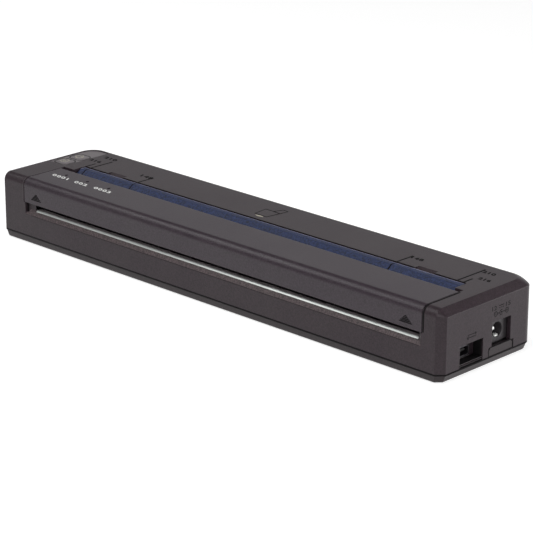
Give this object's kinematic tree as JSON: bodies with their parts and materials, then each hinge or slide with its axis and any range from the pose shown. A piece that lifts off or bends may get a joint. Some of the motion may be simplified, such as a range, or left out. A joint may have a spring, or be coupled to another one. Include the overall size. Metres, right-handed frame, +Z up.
{
  "type": "portable thermal printer",
  "caption": "Slim portable page printer with a hinged release cover over a driven platen roller, a blue paper inlet guide, a front exit slot with tear bar and a rear battery door.",
  "frame": {"origin": "on the resting plane of the feet, below the middle of the body", "axes": "+X along the body towards the end with the sockets, +Y to the rear, +Z up; the exit slot is in the front face at -Y"},
  "size_m": [0.255, 0.055, 0.03],
  "materials": {
    "case_black": "fine grained, matte",
    "tray_black": "fine grained, matte",
    "cover_grey": "fine grained, matte",
    "guide_blue": "fine grained, matte",
    "key_grey": "satin film",
    "bright_steel": "brushed",
    "sheet_steel": "zinc plated",
    "screw_steel": "plated",
    "spring_steel": "drawn wire",
    "sink_aluminium": "milled",
    "pinion_brass": "turned",
    "contact_gold": "plated",
    "roller_rubber": "ground",
    "foot_rubber": "matte",
    "gear_white": "moulded",
    "bush_white": "moulded",
    "lens_clear": "clear moulded",
    "strip_ceramic": "glazed",
    "black_plastic": "moulded",
    "board_green": "solder mask",
    "cable_film": "polyester film",
    "battery_wrap": "shrink wrap",
    "jack_black": "moulded"
  },
  "bodies": {
    "housing": {"upper_case": "case_black", "lower_case": "tray_black", "case_screws": "screw_steel", "rubber_feet": "foot_rubber", "paper_guide": "guide_blue", "tear_bar": "bright_steel", "key_sheet": "key_grey", "key_board": "board_green", "key_switches": "spring_steel", "key_board_screws": "screw_steel", "chassis": "sheet_steel", "chassis_screws": "screw_steel", "platen_bushes": "bush_white", "idler_stud": "bright_steel", "stepper_motor": "sheet_steel", "motor_screws": "screw_steel", "head_pivot_pin": "bright_steel", "head_springs": "spring_steel", "head_cable": "cable_film", "cable_connector": "bush_white", "paper_sensor": "black_plastic", "main_board": "board_green", "board_chips": "black_plastic", "board_capacitors": "black_plastic", "board_screws": "screw_steel", "indicator_board": "board_green", "indicator_lamps": "lens_clear", "usb_shell": "sheet_steel", "usb_tongue": "black_plastic", "jack_body": "jack_black", "jack_pin": "bright_steel", "jack_spring": "bright_steel", "battery_stick": "battery_wrap", "battery_contact_block": "black_plastic", "battery_leaves": "contact_gold"},
    "cover": {"release_cover": "cover_grey", "indicator_lenses": "lens_clear"},
    "platen": {"platen_shaft": "bright_steel", "platen_rubber": "roller_rubber", "platen_gear": "gear_white"},
    "idler": {"idler_gear": "gear_white"},
    "motor_rotor": {"motor_shaft": "bright_steel", "motor_pinion": "pinion_brass"},
    "print_head": {"head_strip": "strip_ceramic", "head_driver_cover": "black_plastic", "head_heat_sink": "sink_aluminium"},
    "feed_button": {"feed_key": "key_grey"},
    "power_button": {"power_key": "key_grey"},
    "rear_door": {"battery_door": "case_black"}
  },
  "joints": [
    {"name": "cover_hinge", "type": "hinge", "parent": "housing", "child": "cover", "pos_m": [0, -0.0095, 0.0265], "axis": [-1, 0, 0], "range_deg": [0, 75]},
    {"name": "platen_spin", "type": "hinge", "parent": "housing", "child": "platen", "pos_m": [0, -0.016, 0.0215], "axis": [1, 0, 0], "continuous": true},
    {"name": "idler_spin", "type": "hinge", "parent": "housing", "child": "idler", "pos_m": [0, -0.0093, 0.01627], "axis": [1, 0, 0], "continuous": true},
    {"name": "motor_spin", "type": "hinge", "parent": "housing", "child": "motor_rotor", "pos_m": [0, -0.00026, 0.01333], "axis": [1, 0, 0], "continuous": true},
    {"name": "head_pivot", "type": "hinge", "parent": "housing", "child": "print_head", "pos_m": [0, -0.0074, 0.01325], "axis": [1, 0, 0], "range_deg": [0, 3], "stiffness_Nm_per_rad": 0.05, "springref_deg": -11.46, "deforming": ["head_springs"]},
    {"name": "feed_press", "type": "slide", "parent": "housing", "child": "feed_button", "axis": [0, 0, -1], "range_m": [0, 0.0004], "stiffness_N_per_m": 400, "springref_m": -0.0005},
    {"name": "power_press", "type": "slide", "parent": "housing", "child": "power_button", "axis": [0, 0, -1], "range_m": [0, 0.0004], "stiffness_N_per_m": 400, "springref_m": -0.0005},
    {"name": "battery_door_hinge", "type": "hinge", "parent": "housing", "child": "rear_door", "pos_m": [0, 0.0257, 0.0247], "axis": [1, 0, 0], "range_deg": [0, 90]}
  ],
  "couplings": [
    {"joint": "idler_spin", "follows": "platen_spin", "ratio": -1.8333},
    {"joint": "motor_spin", "follows": "platen_spin", "ratio": 5.1333}
  ]
}
